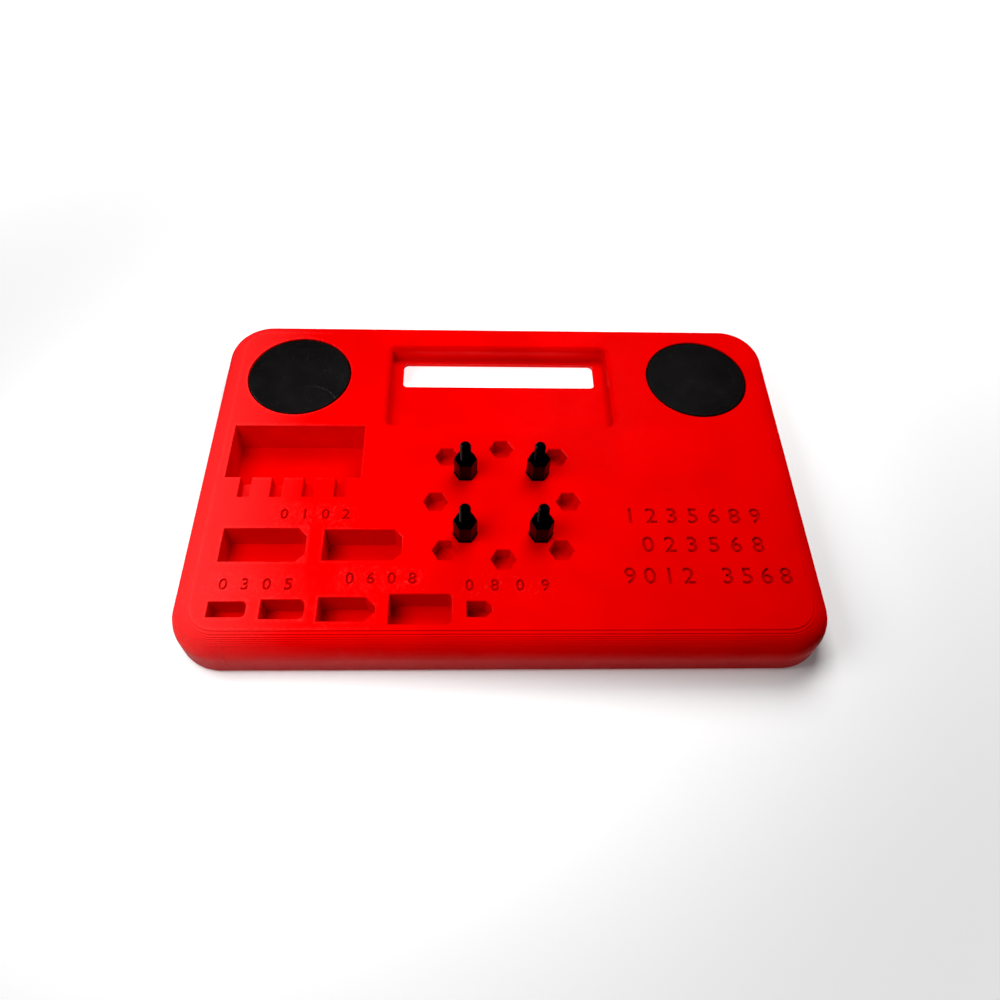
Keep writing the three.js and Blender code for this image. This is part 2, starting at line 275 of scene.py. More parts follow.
def combine(target, tool, operation):
    """Cuts, joins or trims the target with the tool, and removes the tool."""
    modifier = target.modifiers.new(operation.lower(), "BOOLEAN")
    modifier.operation = operation
    modifier.solver = "MANIFOLD"
    modifier.object = tool
    bpy.context.view_layer.update()
    graph = bpy.context.evaluated_depsgraph_get()
    result = bpy.data.meshes.new_from_object(target.evaluated_get(graph))
    target.modifiers.remove(modifier)
    if len(result.polygons) == len(target.data.polygons):
        raise RuntimeError(f"{target.name}: the {operation.lower()} changed nothing")
    target.data = result
    bpy.data.objects.remove(tool)


def finish_piece(piece, material, body, slot, *nodes):
    """Checks that the piece is closed, smooths its curved faces, and ties it to the frame."""
    bm = bmesh.new()
    bm.from_mesh(piece.data)
    open_edges = sum(1 for edge in bm.edges if not edge.is_manifold)
    bm.free()
    if open_edges:
        raise RuntimeError(f"{piece.name} has {open_edges} open edges")
    piece.data.shade_smooth()
    piece.data.set_sharp_from_angle(angle=SHARP_ANGLE)
    piece.data.materials.clear()
    piece.data.materials.append(material)
    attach(piece, body)
    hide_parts(*nodes)


def turned(bm, profile, steps, pull=(0, 0), centre=(0, 0)):
    """Spins (radius, height) points round the vertical, caps the ends and pulls the four quarters apart.

    Pulled quarters make a rounded rectangle, whose corners keep the profile's radii."""
    known = set(bm.verts)
    half_step = math.pi / steps
    stretch = 1 / math.cos(half_step) if any(pull) else 1
    verts = [
        bm.verts.new((radius * stretch * math.cos(half_step), radius * stretch * math.sin(half_step), height))
        for radius, height in profile
    ]
    edges = [bm.edges.new(pair) for pair in zip(verts, verts[1:])]
    bmesh.ops.spin(bm, geom=verts + edges, cent=(0, 0, 0), axis=(0, 0, 1), angle=FULL_TURN, steps=steps,
                   use_merge=True)
    made = [vert for vert in bm.verts if vert not in known]
    rims = [edge for edge in bm.edges if edge.is_boundary and edge.verts[0] not in known]
    bmesh.ops.holes_fill(bm, edges=rims, sides=0)
    for x_side in (-1, 1):
        for y_side in (-1, 1):
            quarter = [vert for vert in made if vert.co.x * x_side > 0 and vert.co.y * y_side > 0]
            bmesh.ops.translate(bm, verts=quarter, vec=(x_side * pull[0], y_side * pull[1], 0))
    bmesh.ops.translate(bm, verts=made, vec=(centre[0], centre[1], 0))


def lathed(name, profile, steps, centre=(0, 0)):
    """A turned profile as an object of its own."""
    bm = bmesh.new()
    turned(bm, profile, steps, centre=centre)
    return object_from(bm, name)


def layered(low, high, layer, crease, growth):
    """(growth, height) points of a printed wall: a flat-faced bead for each layer, with creases between."""
    flat = 0.3                        # share of a layer taken by each sloping side of its bead
    points = []
    for index in range(round((high - low) / layer)):
        floor = low + index * layer
        reach = growth(floor + layer / 2)
        bead = [
            (reach + crease, floor),
            (reach, floor + flat * layer),
            (reach, floor + (1 - flat) * layer),
            (reach + crease, floor + layer),
        ]
        points += bead[1:] if points and points[-1] == bead[0] else bead
    return points


def quarter_round(radius, height):
    """How far a quarter round has drawn back at this height above its lower end."""
    return radius - math.sqrt(max(radius * radius - height * height, 0))


def raised(bm, face, height, growth=0):
    """Extrudes a level face up to a height and makes its outline that much larger all round."""
    made = bmesh.ops.extrude_face_region(bm, geom=[face], use_keep_orig=True)["geom"]
    bmesh.ops.delete(bm, geom=[face], context="FACES_ONLY")
    verts = [item for item in made if isinstance(item, bmesh.types.BMVert)]
    top = next(item for item in made if isinstance(item, bmesh.types.BMFace))
    xs = [vert.co.x for vert in verts]
    ys = [vert.co.y for vert in verts]
    centre = Vector(((min(xs) + max(xs)) / 2, (min(ys) + max(ys)) / 2, verts[0].co.z))
    size = Vector((1 + 2 * growth / (max(xs) - min(xs)), 1 + 2 * growth / (max(ys) - min(ys)), 1))
    bmesh.ops.scale(bm, verts=verts, vec=size, space=Matrix.Translation(-centre))
    bmesh.ops.translate(bm, verts=verts, vec=(0, 0, height - verts[0].co.z))
    return top


def newest_top(bm, known):
    """The highest of the faces made since the known ones."""
    return max((face for face in bm.faces if face not in known), key=lambda face: face.calc_center_median().z)


def eased_mouth(bm, face, mouth):
    """Ends a cutting tool with a small chamfer at the plate's top and a straight run past it."""
    flare = raised(bm, face, TOP, mouth)
    raised(bm, flare, TOP + PAST)


def pocket_tool(bm, box, corner, mouth):
    """A box-shaped cutter whose right-hand corners are bevelled by (flats, reach)."""
    known = set(bm.faces)
    low, high = box
    centre = middle(box)
    size = high - low
    matrix = Matrix.Translation(Vector((centre.x, centre.y, (low.z + TOP - mouth) / 2)))
    matrix = matrix @ Matrix.Diagonal((size.x, size.y, TOP - mouth - low.z, 1))
    verts = bmesh.ops.create_cube(bm, size=1, matrix=matrix)["verts"]
    if corner:
        segments, reach = corner
        edges = {edge for vert in verts for edge in vert.link_edges if vert.co.x > centre.x}
        upright = [edge for edge in edges if (edge.verts[0].co - edge.verts[1].co).xy.length < WELD]
        bmesh.ops.bevel(bm, geom=upright, offset=reach, offset_type="OFFSET", affect="EDGES",
                        segments=segments, profile=0.5, material=-1)
    eased_mouth(bm, newest_top(bm, known), mouth)


def prism_tool(bm, sides, radius, low, centre, mouth):
    """A cutter with a regular outline and two of its corners on the X axis."""
    known = set(bm.faces)
    high = TOP - mouth
    matrix = Matrix.Translation(Vector((centre[0], centre[1], (low + high) / 2)))
    matrix = matrix @ Matrix.Rotation(math.pi / 2, 4, "Z")
    bmesh.ops.create_cone(bm, cap_ends=True, segments=sides, radius1=radius, radius2=radius,
                          depth=high - low, matrix=matrix)
    eased_mouth(bm, newest_top(bm, known), mouth)


def digit_tool(bm, digit, height, centre, depth, boldness):
    """An upright digit, as deep as the engraving, ready to cut."""
    capital_share = 0.73              # a digit's height as a share of the lettering's size
    curve = bpy.data.curves.new("digit", "FONT")
    curve.body = digit
    curve.align_x = "CENTER"
    curve.align_y = "CENTER"
    curve.size = height / capital_share
    curve.resolution_u = 4
    curve.offset = boldness * height
    writing = bpy.data.objects.new("digit", curve)
    bpy.context.scene.collection.objects.link(writing)
    bpy.context.view_layer.update()
    graph = bpy.context.evaluated_depsgraph_get()
    mesh = bpy.data.meshes.new_from_object(writing.evaluated_get(graph))
    bpy.data.objects.remove(writing)
    known = set(bm.verts)
    bm.from_mesh(mesh)
    made = [vert for vert in bm.verts if vert not in known]
    bmesh.ops.remove_doubles(bm, verts=made, dist=WELD)
    made = [vert for vert in bm.verts if vert not in known]
    faces = list({face for vert in made for face in vert.link_faces})
    bmesh.ops.translate(bm, verts=made, vec=(centre[0], centre[1], TOP - depth))
    lifted = bmesh.ops.extrude_face_region(bm, geom=faces, use_keep_orig=True)["geom"]
    lifted = [item for item in lifted if isinstance(item, bmesh.types.BMVert)]
    bmesh.ops.translate(bm, verts=lifted, vec=(0, 0, depth + PAST))


# ---------------------------------------------------------------------------------------------------------
# Material helpers


class Signal:
    """A number that varies over a surface. Ordinary operators on it add Math nodes."""

    def __init__(self, finish, socket):
        self.finish = finish
        self.socket = socket

    def maths(self, operation, *terms):
        return self.finish.add("ShaderNodeMath", {"operation": operation}, dict(enumerate(terms)))

    def other(self, name):
        """Another output of the same node."""
        return Signal(self.finish, self.socket.node.outputs[name])

    def __add__(self, term):
        return self.maths("ADD", self, term)

    def __radd__(self, term):
        return self.maths("ADD", term, self)

    def __sub__(self, term):
        return self.maths("SUBTRACT", self, term)

    def __rsub__(self, term):
        return self.maths("SUBTRACT", term, self)

    def __mul__(self, term):
        return self.maths("MULTIPLY", self, term)

    def __rmul__(self, term):
        return self.maths("MULTIPLY", term, self)

    def __truediv__(self, term):
        return self.maths("DIVIDE", self, term)

    def __rtruediv__(self, term):
        return self.maths("DIVIDE", term, self)

    def __abs__(self):
        return self.maths("ABSOLUTE", self)

    def least(self, term):
        return self.maths("MINIMUM", self, term)

    def most(self, term):
        return self.maths("MAXIMUM", self, term)

    def below(self, term):
        return self.maths("LESS_THAN", self, term)

    def above(self, term):
        return self.maths("GREATER_THAN", self, term)

    def ridge(self, width):
        """Rounded beads side by side, each of this width: 0 between two beads and 1 on top."""
        place = (self / width).maths("FRACT", self / width)
        return 4 * place * (1 - place)

    def fade(self, start, end):
        """0 up to start, 1 from end, and smooth between."""
        return self.finish.add("ShaderNodeMapRange", {"interpolation_type": "SMOOTHSTEP"},
                               {"Value": self, "From Min": start, "From Max": end})


class Finish:
    """A material under construction, with one Principled shader."""

    def __init__(self, name, **constants):
        self.material = bpy.data.materials.new(name)
        self.material.use_nodes = True
        self.tree = self.material.node_tree
        self.tree.nodes.clear()
        output = self.tree.nodes.new("ShaderNodeOutputMaterial")
        self.shader = self.tree.nodes.new("ShaderNodeBsdfPrincipled")
        self.tree.links.new(self.shader.outputs["BSDF"], output.inputs["Surface"])
        for socket, value in constants.items():
            self.shader.inputs[socket.replace("_", " ")].default_value = value

    def add(self, kind, settings=None, inputs=None, output=0):
        """Adds a node: its settings first, then the values or links of its sockets."""
        node = self.tree.nodes.new(kind)
        for name, value in (settings or {}).items():
            setattr(node, name, value)
        for name, value in (inputs or {}).items():
            self.feed(node.inputs[name], value)
        return Signal(self, node.outputs[output])

    def feed(self, socket, value):
        if isinstance(value, Signal):
            self.tree.links.new(value.socket, socket)
        else:
            socket.default_value = value

    def set(self, name, value):
        self.feed(self.shader.inputs[name], value)

    def vector(self, operation, first, second=None, output="Vector"):
        inputs = {0: first} if second is None else {0: first, 1: second}
        return self.add("ShaderNodeVectorMath", {"operation": operation}, inputs, output)

    def millimetres(self):
        """The place on the piece, in millimetres."""
        place = self.add("ShaderNodeTexCoord", output="Object")
        return self.add("ShaderNodeVectorMath", {"operation": "SCALE"}, {0: place, "Scale": 1 / MM})

    def axes(self, place):
        """The three numbers of a vector."""
        x = self.add("ShaderNodeSeparateXYZ", inputs={0: place}, output="X")
        return x, x.other("Y"), x.other("Z")

    def level(self, x, y):
        """A place on the ground plane."""
        return self.add("ShaderNodeCombineXYZ", inputs={"X": x, "Y": y})

    def noise(self, place, scale, detail=2.0, roughness=0.5, stretch=None):
        if stretch:
            place = self.vector("MULTIPLY", place, stretch)
        return self.add("ShaderNodeTexNoise", inputs={
            "Vector": place, "Scale": scale, "Detail": detail, "Roughness": roughness})

    def mixed(self, first, second, factor):
        """A colour between two, as the factor goes from 0 to 1."""
        return self.add("ShaderNodeMix", {"data_type": "RGBA"}, {0: factor, 6: first, 7: second}, 2)

    def bump(self, height):
        """Feeds the shader's Normal from a height in metres."""
        normal = self.add("ShaderNodeBump", inputs={"Strength": 1.0, "Distance": 1.0, "Height": height})
        self.set("Normal", normal)


def opaque(rgb):
    return (rgb[0], rgb[1], rgb[2], 1.0)


def scaled_rgb(rgb, factor):
    return (rgb[0] * factor, rgb[1] * factor, rgb[2] * factor, 1.0)


def outside_of(finish, flat_place, box):
    """Distance in millimetres from a box's outline; 0 inside it."""
    low, high = box
    centre = middle(box) / MM
    half = (high - low) / 2 / MM
    reach = finish.vector("ABSOLUTE", finish.vector("SUBTRACT", flat_place, (centre.x, centre.y, 0)))
    beyond = finish.vector("MAXIMUM", finish.vector("SUBTRACT", reach, (half.x, half.y, 0)), (0, 0, 0))
    return finish.vector("LENGTH", beyond, output="Value")


def distance_from(finish, place, centre):
    return finish.vector("DISTANCE", place, centre, output="Value")


def skin_edges(finish, flat_place, x, y):
    """Millimetres to the nearest edge of the top skin, and to the plate's outline."""
    edge = outside_of(finish, flat_place, TRAY_BOX)
    for box in [*POCKET_BOXES.values(), RECESS_BOX]:
        edge = edge.least(outside_of(finish, flat_place, box))
    magnet = middle(JACKET_BOXES["right"]) / MM
    mirrored = finish.level(abs(x), y)
    edge = edge.least(distance_from(finish, mirrored, (magnet.x, magnet.y, 0)) - MAGNET_POCKET_RADIUS / MM)
    pattern = Vector((0, PATTERN_Y, 0))
    folded = finish.level(abs(x), abs(y - PATTERN_Y / MM))
    outer = (middle(opening("socket_outer_back_right")) - pattern) / MM
    inner = (middle(STANDOFF_BOXES["back_right"]) - pattern) / MM
    cardinal = middle(opening("socket_middle_right")).x / MM
    for spot in ((inner.x, inner.y, 0), (outer.x, outer.y, 0), (cardinal, 0, 0), (0, cardinal, 0)):
        edge = edge.least(distance_from(finish, folded, spot) - SOCKET_FLATS / MM / 2)
    corner = PLATE_CORNER / MM
    bend = (PLATE_HIGH.x / MM - corner, PLATE_HIGH.y / MM - corner, 0)
    reach = finish.vector("SUBTRACT", finish.vector("ABSOLUTE", flat_place), bend)
    rim = finish.vector("LENGTH", finish.vector("MAXIMUM", reach, (0, 0, 0)), output="Value")
    rim_inside = corner - rim
    skin_starts = 5.3                 # the top skin starts this far in from the outline
    return edge.least(abs(rim_inside - skin_starts)), rim_inside


def label_distance(finish, flat_place):
    """Millimetres to the nearest row of small numerals."""
    near = None
    for digits, first, row, step, tall in SMALL_LABELS:
        half = Vector((tall / 2, tall / 2, 0))
        last = first + step * (len(digits) - 1)
        away = outside_of(finish, flat_place, (Vector((first, row, 0)) - half, Vector((last, row, 0)) + half))
        near = away if near is None else near.least(away)
    return near


def red_print(settings):
    """Printed red plastic: top-skin lines, perimeters round every edge, wall layers, scuffs and strings, with
    painted shade, a painted sheen and a painted rim highlight.
    """
    finish = Finish("red_print", IOR=1.46, Specular_IOR_Level=0.2)
    place = finish.millimetres()
    x, y, z = finish.axes(place)
    flat_place = finish.level(x, y)
    line = settings.line / MM
    layer = settings.layer / MM
    top = TOP / MM
    flat_starts = EDGE_ROUNDING / MM + 0.5
    edge, rim_inside = skin_edges(finish, flat_place, x, y)

    # Top skin: two perimeters along every edge, slanting lines elsewhere
    slanting = (x + y) * math.sqrt(0.5)
    lane = (slanting / line).maths("FLOOR", slanting / line)
    lane_noise = finish.add("ShaderNodeTexWhiteNoise", {"noise_dimensions": "1D"}, {"W": lane})
    perimeters = edge.below(2 * line)
    skin = perimeters * edge.ridge(line) + (1 - perimeters) * (slanting.ridge(line) - 0.35 * lane_noise)
    facing = finish.axes(finish.add("ShaderNodeTexCoord", output="Normal"))[2]
    level = 0.6                       # a face counts as level when its normal's Z passes this
    upward = abs(facing).above(level)
    face_up = facing.above(level)
    inner_wall = (1 - upward) * rim_inside.above(flat_starts)
    layers = (z - BOTTOM / MM).ridge(layer)
    wobble = finish.noise(place, 2.2, detail=3, stretch=(1, 1, 6))
    height = upward * skin * 0.014 + inner_wall * layers * 0.03 + (1 - upward) * wobble * 0.012

    # Scuffs and fine strings round the numerals and between the pockets, and paler pocket rims, partly
    # scuffing and partly a painted highlight
    top_skin = face_up * z.above(top - 0.05)
    halo = 1 - label_distance(finish, flat_place).fade(0.2, 4.0)
    fleck = finish.noise(place, 1.5, detail=5, roughness=0.72)
    strings = finish.noise(place, 1.0, detail=3, stretch=(0.9, 4.5, 1)).fade(0.60, 0.68)
    marks = halo * (fleck.fade(0.50, 0.66) * 0.5 + strings * 0.35) * top_skin
    left_wear = 1 - x.fade(-60.0, -15.0)
    front_wear = 1 - y.fade(-46.0, -20.0)
    grazes = finish.noise(place, 0.55, detail=6, roughness=0.7).fade(0.56, 0.70) * left_wear * front_wear
    # rims: paler red along the pocket edges on the left, partly scuffing and partly a painted highlight where
    # the edges would catch the light
    rims = (1 - edge.fade(0.1, 1.3)) * fleck.fade(0.38, 0.60) * left_wear * top_skin
    wear_and_rim_highlight = ((marks + grazes * 0.45 + rims * 0.4) * settings.wear_and_rim_highlight).least(1.0)
    pits = (1 - fleck.fade(0.30, 0.44)) * halo * top_skin
    height = height + marks * fleck * 0.06 - pits * 0.04

    # The seam where every outer layer starts, near the front left corner
    seam_x = (PLATE_LOW.x + PLATE_CORNER) / MM + 2.1
    seam_gap = abs(x - seam_x + finish.noise(place, 0.9, stretch=(0, 0, 1)) * 0.8)
    on_front = y.below(PLATE_LOW.y / MM + 4.0)
    seam = (1 - seam_gap.fade(0.1, 0.75)) * on_front
    height = height + seam * fleck * 0.12

    # A painted sheen along the left edge, painted shade on the outer walls and painted shade on the numerals'
    # floors
    outer_wall = (1 - upward) * (1 - rim_inside.above(flat_starts))
    # haze is a painted sheen: paler red along the left edge, on the top and the upper outer wall, in place of
    # a reflection
    haze = (1 - x.fade(-84.0, -48.0)) * (0.7 + fleck * 0.6) * (1 - inner_wall) * z.fade(6.0, 9.0)
    behind_numerals = 10.0            # no numeral stands farther back than this
    drift = finish.noise(place, 0.045, detail=2)
    red = finish.mixed(scaled_rgb(settings.red, 0.93), scaled_rgb(settings.red, 1.06), drift.fade(0.3, 0.7))
    red = finish.mixed(red, scaled_rgb(settings.red, 0.72), (seam * 0.5 * fleck).least(1.0))
    # Painted shade in the grooves between the top skin's lines
    groove_shade = (1 - skin.fade(0.0, 0.5)) * upward * 0.10
    red = finish.mixed(red, scaled_rgb(settings.red, 0.55), groove_shade)
    # Painted shade: the outer walls are painted darker, more so towards the bottom
    shade = outer_wall * (1 - z.fade(0.0, 9.0) * 0.5)
    red = finish.mixed(red, scaled_rgb(settings.red, 0.5), shade)
    red = finish.mixed(red, scaled_rgb(settings.red, 0.5), pits * 0.6)
    engraving = settings.engraving / MM
    # Painted shade: the floors of the engraved numerals are painted darker
    numeral_floor_shade = face_up * z.below(top - engraving / 2) * z.above(top - engraving - 0.4)
    numeral_floor_shade = numeral_floor_shade * y.below(behind_numerals) * rim_inside.above(flat_starts)
    red = finish.mixed(red, scaled_rgb(settings.red, 0.66), numeral_floor_shade)
    # The paler red paints the scuffs and strings, the painted highlight on the pocket rims and the painted
    # sheen along the left edge
    red = finish.mixed(red, opaque(settings.scuffed_and_sheen), (wear_and_rim_highlight * 0.5 + haze * 0.3).least(1.0))
    finish.set("Base Color", red)
    sheen = finish.noise(place, 0.35, detail=4, roughness=0.6)
    finish.set("Roughness", 0.44 + sheen * 0.14 + wear_and_rim_highlight * 0.22 - upward * lane_noise * 0.04)
    finish.bump(height * MM)
    return finish.material


def black_nylon(settings):
    """Moulded black nylon: soft gloss, faint grain and fine handling marks."""
    finish = Finish("black_nylon", IOR=1.53, Specular_IOR_Level=0.14)
    place = finish.millimetres()
    grain = finish.noise(place, 5.0, detail=4, roughness=0.6)
    marks = finish.noise(place, 1.6, detail=5, roughness=0.75, stretch=(1, 1, 0.25)).fade(0.58, 0.72)
    colour_value = finish.mixed(opaque(settings.black), scaled_rgb(settings.black, 2.6), marks * 0.5)
    finish.set("Base Color", colour_value)
    finish.set("Roughness", 0.27 + grain * 0.14 + marks * 0.16)
    finish.bump((grain * 0.006 + marks * 0.004) * MM)
    return finish.material


def magnet_rubber(settings):
    """Smooth black rubber: satin, a fine pebble, a few hairline scratches and one curved graze."""
    finish = Finish("magnet_rubber", IOR=1.5, Specular_IOR_Level=0.12)
    place = finish.millimetres()
    x, y, _ = finish.axes(place)
    pebble = finish.add("ShaderNodeTexVoronoi", {"feature": "SMOOTH_F1"},
                        {"Vector": place, "Scale": 3.2, "Smoothness": 0.6}, "Distance")
    cloud = finish.noise(place, 0.12, detail=4, roughness=0.6)
    hair = finish.noise(place, 0.9, detail=2, stretch=(0.22, 5.0, 1)).fade(0.685, 0.70)
    hair_two = finish.noise(place, 0.8, detail=2, stretch=(4.4, 0.3, 1)).fade(0.70, 0.715)

    # The curved graze on the left face
    graze_centre, graze_radius = (-55.9, 20.2, 0), 8.1
    ring = abs(distance_from(finish, finish.level(x, y), graze_centre) - graze_radius)
    broken = finish.noise(place, 1.1, detail=4, roughness=0.7).fade(0.36, 0.60)
    graze = (1 - ring.fade(0.04, 0.22)) * broken * x.above(-57.2) * y.above(23.6)
    scratched = ((graze + (hair + hair_two) * 0.35) * settings.scratches).least(1.0)
    tone = finish.mixed(opaque(settings.black), scaled_rgb(settings.black, 1.25), cloud.fade(0.35, 0.75))
    finish.set("Base Color", finish.mixed(tone, (0.075, 0.072, 0.070, 1.0), scratched * 0.6))
    finish.set("Roughness", 0.38 + cloud * 0.06 + scratched * 0.2)
    finish.bump((pebble * 0.010 - scratched * 0.015) * MM)
    return finish.material


def foot_rubber(settings):
    """Matte black rubber with a fine moulded grain and a little dust."""
    finish = Finish("foot_rubber", IOR=1.5, Specular_IOR_Level=0.3)
    place = finish.millimetres()
    grain = finish.noise(place, 6.0, detail=4, roughness=0.65)
    dust = finish.noise(place, 0.8, detail=5, roughness=0.7).fade(0.52, 0.72)
    finish.set("Base Color", finish.mixed(opaque(settings.black), (0.06, 0.056, 0.052, 1.0), dust * 0.5))
    finish.set("Roughness", 0.72 + grain * 0.2)
    finish.bump(grain * 0.02 * MM)
    return finish.material


def zinc_steel():
    """Zinc-plated steel: a bright turned face with a faint bluish bloom."""
    finish = Finish("zinc_steel", Metallic=1.0)
    place = finish.millimetres()
    spangle = finish.add("ShaderNodeTexVoronoi", inputs={"Vector": place, "Scale": 0.55}, output="Color")
    patch = finish.add("ShaderNodeSeparateColor", inputs={0: spangle})
    bloom = finish.noise(place, 0.3, detail=4)
    tone = finish.mixed((0.56, 0.58, 0.60, 1.0), (0.72, 0.72, 0.70, 1.0), patch * 0.6 + bloom * 0.4)
    finish.set("Base Color", tone)
    finish.set("Roughness", 0.26 + patch * 0.14 + bloom * 0.1)
    finish.bump(finish.noise(place, 4.0, detail=3) * 0.004 * MM)
    return finish.material


def nickel_plate():
    """Bright nickel plate with fine handling scratches."""
    finish = Finish("nickel_plate", Metallic=1.0)
    place = finish.millimetres()
    scratches = finish.noise(place, 1.2, detail=3, stretch=(0.3, 6.0, 1)).fade(0.58, 0.66)
    haze = finish.noise(place, 0.7, detail=4)
    finish.set("Base Color", finish.mixed((0.72, 0.70, 0.66, 1.0), (0.80, 0.79, 0.76, 1.0), haze))
    finish.set("Roughness", 0.10 + haze * 0.12 + scratches * 0.2)
    finish.bump(scratches * -0.003 * MM)
    return finish.material


def foam_tape():
    """White double-sided foam tape with its fine open cells."""
    finish = Finish("foam_tape", Specular_IOR_Level=0.25)
    place = finish.millimetres()
    cells = finish.add("ShaderNodeTexVoronoi", inputs={"Vector": place, "Scale": 4.5}, output="Distance")
    tone = finish.mixed((0.70, 0.68, 0.62, 1.0), (0.86, 0.85, 0.80, 1.0), cells.fade(0.1, 0.6))
    finish.set("Base Color", tone)
    finish.set("Roughness", 0.82 + cells * 0.15)
    finish.bump(cells * 0.05 * MM)
    return finish.material


def pale_floor(rgb):
    """A matte studio floor that glows far out and under the plate, and is clear when seen from below."""
    finish = Finish("pale_floor", Specular_IOR_Level=0.1, Emission_Strength=1.0)
    place = finish.millimetres()
    tone = finish.noise(place, 0.004, detail=2)
    finish.set("Base Color", finish.mixed(scaled_rgb(rgb, 0.99), opaque(rgb), tone))
    far = distance_from(finish, place, (0, 0, 0)).fade(110.0, 330.0)
    inset = Vector((17 * MM, 6 * MM, 0))
    under = 1 - outside_of(finish, place, (PLATE_LOW + inset, PLATE_HIGH - inset)).fade(0.0, 4.0)
    glow = far.most(under * 0.9)
    finish.set("Emission Color", finish.mixed((0.06, 0.06, 0.06, 1.0), (0.95, 0.95, 0.95, 1.0), glow))
    finish.set("Roughness", 0.9 + tone * 0.05)
    finish.set("Alpha", 1 - finish.add("ShaderNodeNewGeometry", output="Backfacing"))
    return finish.material


# ---------------------------------------------------------------------------------------------------------
# Pieces


def plate_blank(settings):
    """The plate before any pocket: straight printed sides under a stepped quarter round."""
    bm = bmesh.new()
    shoulder = TOP - EDGE_ROUNDING

    def drawn_in(height):
        return quarter_round(EDGE_ROUNDING, max(height - shoulder, 0))

    wall = layered(BOTTOM, TOP, settings.layer, settings.crease, drawn_in)
    profile = [(PLATE_CORNER - back, height) for back, height in wall]
    pull = (PLATE_HIGH.x - PLATE_CORNER, PLATE_HIGH.y - PLATE_CORNER)
    turned(bm, profile, FACETS, pull)
    return object_from(bm, "printed_plate")


def rounded_tool(bm, box, corner, wall, end):
    """A cutter with a box's outline and round corners that follows a (growth, height) wall to its end."""
    low, high = box
    profile = [(corner + reach, height) for reach, height in [*wall, (wall[-1][0], end)]]
    centre = middle(box)
    pull = ((high.x - low.x) / 2 - corner, (high.y - low.y) / 2 - corner)
    turned(bm, profile, FACETS_CORNER, pull, (centre.x, centre.y))


def recess_tool(bm, settings):
    """Cuts the carry recess: a coved foot, a straight wall and a rounded lip, all in printed layers."""
    floor = RECESS_BOX[0].z
    cove_top = floor + settings.cove
    lip_foot = TOP - settings.lip

    def growth(height):
        if height < cove_top:
            return -quarter_round(settings.cove, cove_top - height)
        return quarter_round(settings.lip, max(min(height, TOP - settings.layer / 2) - lip_foot, 0))

    layer = settings.layer
    brim = floor + math.ceil((TOP - floor) / layer) * layer
    wall = layered(floor, brim, layer, settings.crease, growth)
    rounded_tool(bm, RECESS_BOX, RECESS_CORNER, wall, TOP + PAST)


def slot_tool(bm, settings):
    """Cuts the slot through the recess's floor, opening at 45 degrees below the web."""
    floor = RECESS_BOX[0].z
    web_foot = floor - SLOT_WEB

    def growth(height):
        return max(web_foot - height, 0)

    wall = [(growth(BOTTOM), BOTTOM - PAST)]
    wall += layered(BOTTOM, floor, settings.layer, settings.crease, growth)
    rounded_tool(bm, SLOT_BOX, SLOT_CORNER, wall, floor + PAST)


def plate_pockets(settings):
    """All that stands clear of its neighbours: pockets, tray, recess, sockets, magnets and numerals."""
    bm = bmesh.new()
    mouth = settings.mouth
    for name, box in POCKET_BOXES.items():
        pocket_tool(bm, box, POCKET_CORNERS[name], mouth)
    pocket_tool(bm, TRAY_BOX, None, mouth)
    recess_tool(bm, settings)
    sockets = [middle(opening(name)) for name in SOCKET_NAMES]
    sockets += [middle(box) for box in STANDOFF_BOXES.values()]
    for place in sockets:
        prism_tool(bm, 6, SOCKET_FLATS / math.sqrt(3), TOP - SOCKET_DEPTH, (place.x, place.y), mouth)
    for box in JACKET_BOXES.values():
        place = middle(box)
        prism_tool(bm, FACETS_LARGE, MAGNET_POCKET_RADIUS, TOP - MAGNET_POCKET_DEPTH,
                   (place.x, place.y), mouth / 2)
    for digits, first, label_y, step, tall in LABELS:
        for index, digit in enumerate(digits):
            if digit != " ":
                place = (first + index * step, label_y)
                digit_tool(bm, digit, tall, place, settings.engraving, settings.boldness)
    return object_from(bm, "pocket_tools")


def plate_underside(settings):
    """The slot with its bevelled underside, the tray's notches and the feet's pockets."""
    bm = bmesh.new()
    slot_tool(bm, settings)
    for index in range(NOTCH_COUNT):
        centre_x = NOTCH_FIRST + index * NOTCH_PITCH
        low = Vector((centre_x - NOTCH_WIDTH / 2, NOTCH_FRONT, TOP - NOTCH_DEPTH))
        high = Vector((centre_x + NOTCH_WIDTH / 2, TRAY_BOX[0].y + PAST, TOP))
        pocket_tool(bm, (low, high), None, settings.mouth)
    for box in FOOT_BOXES.values():
        place = middle(box)
        profile = [(FOOT_POCKET_RADIUS, BOTTOM - PAST), (FOOT_POCKET_RADIUS, FOOT_POCKET_ROOF)]
        turned(bm, profile, FACETS_SMALL, centre=(place.x, place.y))
    return object_from(bm, "underside_tools")


class WORKPLATE_OT_plate(bpy.types.Operator):
    """Build the printed plate with its pockets, sockets, tray, carry slot and numerals"""

    bl_idname = "workplate.plate"
    bl_label = "Plate"

    def execute(self, context):
        settings = context.scene.work_plate
        plate = plate_blank(settings)
        combine(plate, plate_pockets(settings), "DIFFERENCE")
        combine(plate, plate_underside(settings), "DIFFERENCE")
        finish_piece(plate, red_print(settings), ROOT, "red_print", PLATE)
        return {"FINISHED"}


